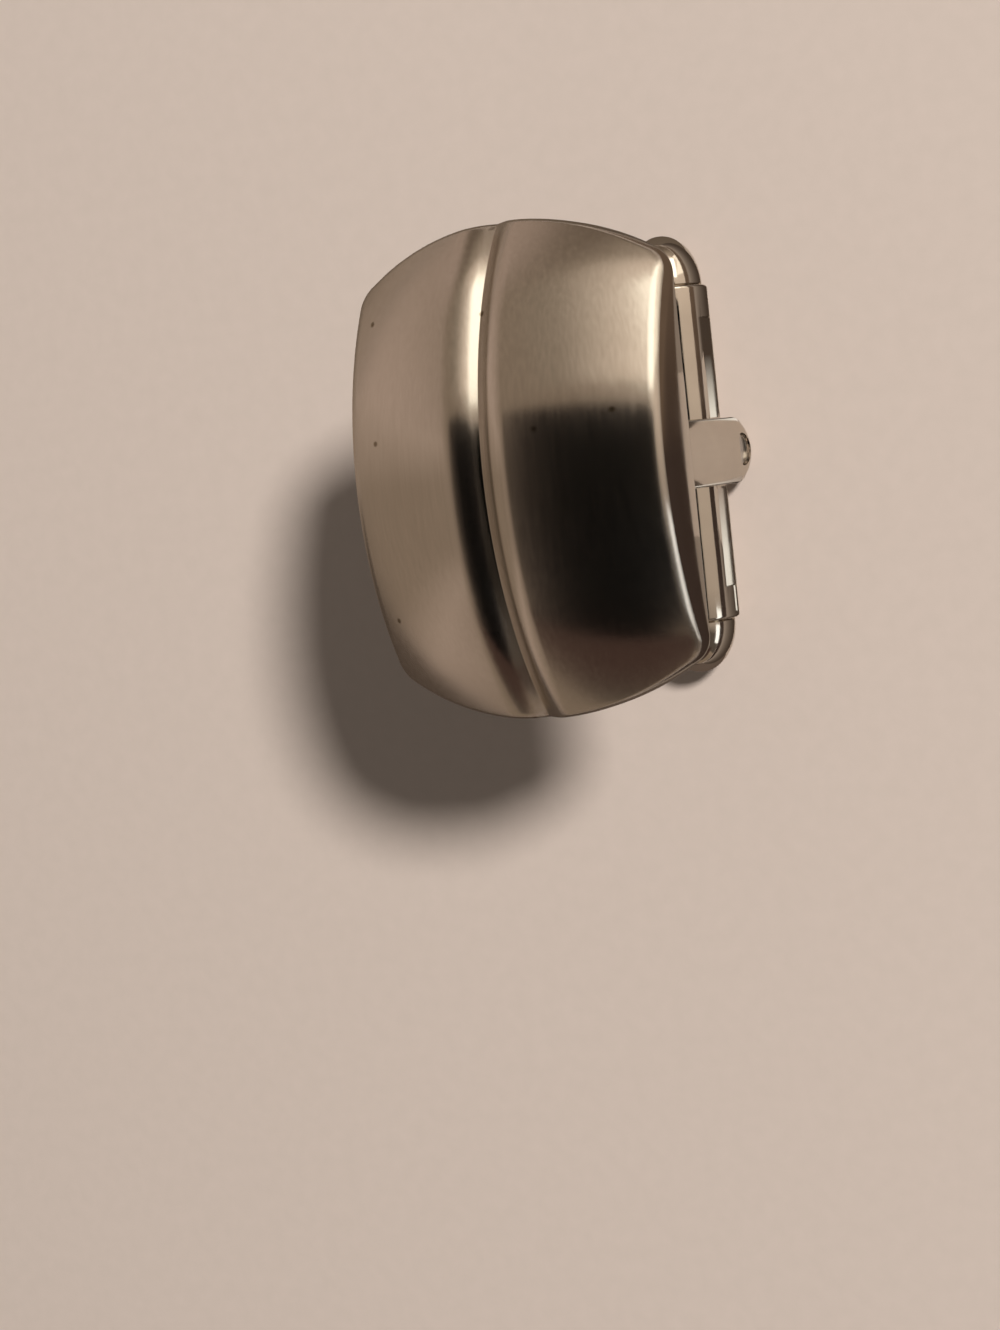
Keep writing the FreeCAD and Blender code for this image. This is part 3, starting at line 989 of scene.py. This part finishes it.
def make_toggle_flags():
    """Glowing and dark strips on the paper beside the toggle, which its lower side reflects: a painted
    highlight and painted shade that only reflections see.
    """
    glow = (1.3, 1.27, 1.2)
    paper = (0.58, 0.49, 0.43)
    far_paper = (0.36, 0.29, 0.24)
    # Glowing strips: a painted highlight on the toggle's flats, fading into painted shade to the north and
    # into paper to the south
    floor_card("tube_glow_north", near_x=2.35, far_x=2.75, low_y=1.6, high_y=4.5,
               colour=glow, fade=Fade(ALONG, 1.8 * MM, 4.5 * MM, PAINTED_SHADE_DARK), lift=GLOW_LIFT)
    floor_card("tube_glow_south", near_x=2.4, far_x=2.9, low_y=-7.5, high_y=-1.7,
               colour=glow, fade=Fade(ALONG, -4.6 * MM, -1.8 * MM, paper), lift=GLOW_LIFT)
    arm_side = 1.6
    arm_clear = 3.8
    flag_end = 60
    # Painted shade on the paper beside the toggle, lighter further out
    for end, direction in ENDS:
        low, high = sorted((direction * arm_clear, direction * flag_end))
        floor_card("tube_flag_" + end, near_x=1.9, far_x=11, low_y=low, high_y=high,
                   colour=PAINTED_SHADE_DARK, fade=Fade(ACROSS, 2.6 * MM, 8 * MM, far_paper))
    # Painted shade on the paper beside the arms
    for end, direction in ENDS:
        low, high = sorted((direction * arm_side, direction * arm_clear))
        floor_card("arm_flag_" + end, near_x=1.9, far_x=2.5, low_y=low, high_y=high, colour=PAINTED_SHADE_DARK)


# A tone of the room round an axis: how far along it a direction starts to show the tone, and shows it fully
Tone = namedtuple("Tone", ("axis", "start", "full", "colour"))


def make_world():
    """A warm room that only reflections see, lighter at both sides and darker overhead."""
    world = bpy.data.worlds.new("room")
    bpy.context.scene.world = world
    world.use_nodes = True
    tree = world.node_tree
    direction = tree.nodes.new("ShaderNodeTexCoord").outputs["Generated"]
    to_upper_left = in_photo_axes(right=-0.55, up=0.82, back=0.05)
    to_lamp = in_photo_axes(right=0.25, up=0.62, back=0.74)
    overhead = Tone(CAMERA_UP, start=0.7, full=1.0, colour=(0.17, 0.125, 0.09))
    left_side = Tone(-ACROSS, start=0.4, full=1.0, colour=(0.62, 0.47, 0.385))
    right_side = Tone(ACROSS, start=0.4, full=0.9, colour=(0.50, 0.39, 0.30))
    upper_left = Tone(to_upper_left, start=0.92, full=0.98, colour=(0.48, 0.36, 0.29))
    near_lamp = Tone(to_lamp, start=0.84, full=1.0, colour=(0.55, 0.44, 0.34))
    seen = ROOM_COLOUR
    for tone in (overhead, left_side, right_side, upper_left, near_lamp):
        share = share_along(tree, direction, tone.axis, tone.start, tone.full)
        seen = blend_colours(tree, share, seen, tone.colour)
    rays = tree.nodes.new("ShaderNodeLightPath").outputs
    backdrop = blend_colours(tree, rays["Is Camera Ray"], FILL_COLOUR, BACKDROP_COLOUR)
    room = blend_colours(tree, rays["Is Glossy Ray"], backdrop, seen)
    tree.links.new(room, tree.nodes["Background"].inputs["Color"])


def make_key_light():
    """A soft lamp that lights the paper and throws the shadow; the metal sees cards in its place."""
    data = bpy.data.lights.new("key", "AREA")
    data.shape = "DISK"
    data.size = KEY_SIZE
    data.energy = KEY_POWER
    data.color = KEY_COLOUR
    light = bpy.data.objects.new("key", data)
    light.location = Vector((0, 0, BACK_Z)) + KEY_DIRECTION * KEY_DISTANCE
    light.rotation_euler = (-KEY_DIRECTION).to_track_quat("-Z", "Y").to_euler()
    light.visible_camera = False
    light.visible_glossy = False
    bpy.context.scene.collection.objects.link(light)


def make_camera():
    data = bpy.data.cameras.new("camera")
    data.sensor_fit = "VERTICAL"
    data.angle_y = 2 * math.atan(PHOTO_HEIGHT / 2 / FOCAL_PIXELS)
    data.clip_start = CAMERA_CLIP_START
    camera = bpy.data.objects.new("camera", data)
    axes = Matrix((CAMERA_RIGHT, CAMERA_UP, CAMERA_BACK)).transposed()
    camera.matrix_world = Matrix.Translation(CAMERA_PLACE) @ axes.to_4x4()
    bpy.context.scene.collection.objects.link(camera)
    bpy.context.scene.camera = camera


def finish_node(node, material):
    """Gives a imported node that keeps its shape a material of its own."""
    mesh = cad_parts[node].data
    mesh.materials.clear()
    mesh.materials.append(material)


make_camera()
satin = satin_material()
polished = polished_material()
plate = plate_material()
steel = steel_material()
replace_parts(make_face(satin, polished, plate), "face_shell")
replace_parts(make_fork(polished, panel_material()), "post_fork")
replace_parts(make_pin(steel), "pivot_pin")
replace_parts(make_tube(polished), "toggle_tube")
for end, direction in ENDS:
    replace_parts(make_cap("cap_dome_" + end, direction, polished), "end_cap_" + end)
finish_node("back_plate", plate)
for leaf in ("upper", "lower"):
    finish_node("detent_spring_" + leaf, steel)

make_floor()
make_lamp_cards()
make_camera_cards()
make_wall_cards()
make_side_flags()
make_toggle_flags()
make_world()
make_key_light()
bpy.context.scene.view_settings.view_transform = "Standard"
